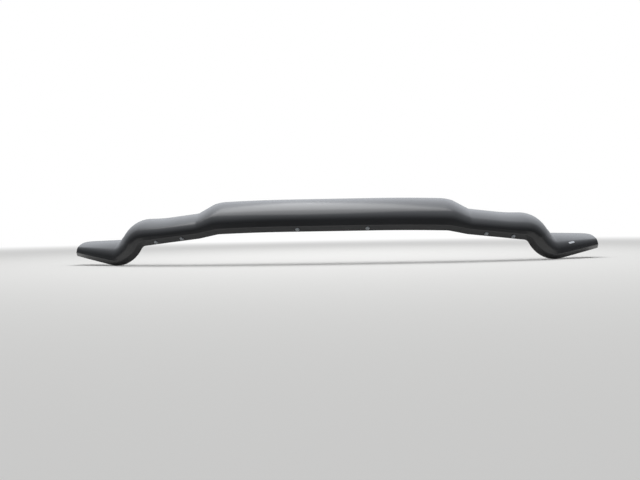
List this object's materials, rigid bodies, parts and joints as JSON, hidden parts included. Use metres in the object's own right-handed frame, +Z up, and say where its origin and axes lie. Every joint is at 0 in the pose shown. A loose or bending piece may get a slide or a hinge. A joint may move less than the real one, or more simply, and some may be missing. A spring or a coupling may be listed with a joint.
{
  "type": "hood bug deflector",
  "caption": "Full-width formed black hood shield with a return flange, folded brackets, clear pads and foam tapes.",
  "frame": {"origin": "half way between the hood-screw holes of the two central brackets, on the face that lies against the underside of the hood", "axes": "+X to the right as one faces the truck, +Y rearward over the hood, +Z up"},
  "size_m": [1.7942, 0.2634, 0.2099],
  "materials": {
    "shield_sheet": "thermoformed black acrylic sheet with a satin face",
    "bracket_steel": "folded steel strip, black dip coat",
    "fastener_steel": "zinc-plated steel",
    "clear_pad": "clear soft polyurethane",
    "foam_tape": "dark grey acrylic foam",
    "badge_blank": "satin silver plate, blank"
  },
  "bodies": {
    "root": {"shield": "shield_sheet", "central_bracket_left": "bracket_steel", "central_bracket_right": "bracket_steel", "inner_shoulder_bracket_left": "bracket_steel", "inner_shoulder_bracket_right": "bracket_steel", "outer_shoulder_bracket_left": "bracket_steel", "outer_shoulder_bracket_right": "bracket_steel", "flange_screws": "fastener_steel", "flange_washers": "fastener_steel", "flange_nuts": "fastener_steel", "first_pad_left": "clear_pad", "first_pad_right": "clear_pad", "second_pad_left": "clear_pad", "second_pad_right": "clear_pad", "third_pad_left": "clear_pad", "third_pad_right": "clear_pad", "shoulder_pad_left": "clear_pad", "shoulder_pad_right": "clear_pad", "wing_tape_left": "foam_tape", "wing_tape_right": "foam_tape", "badge_plate": "badge_blank"}
  },
  "joints": []
}
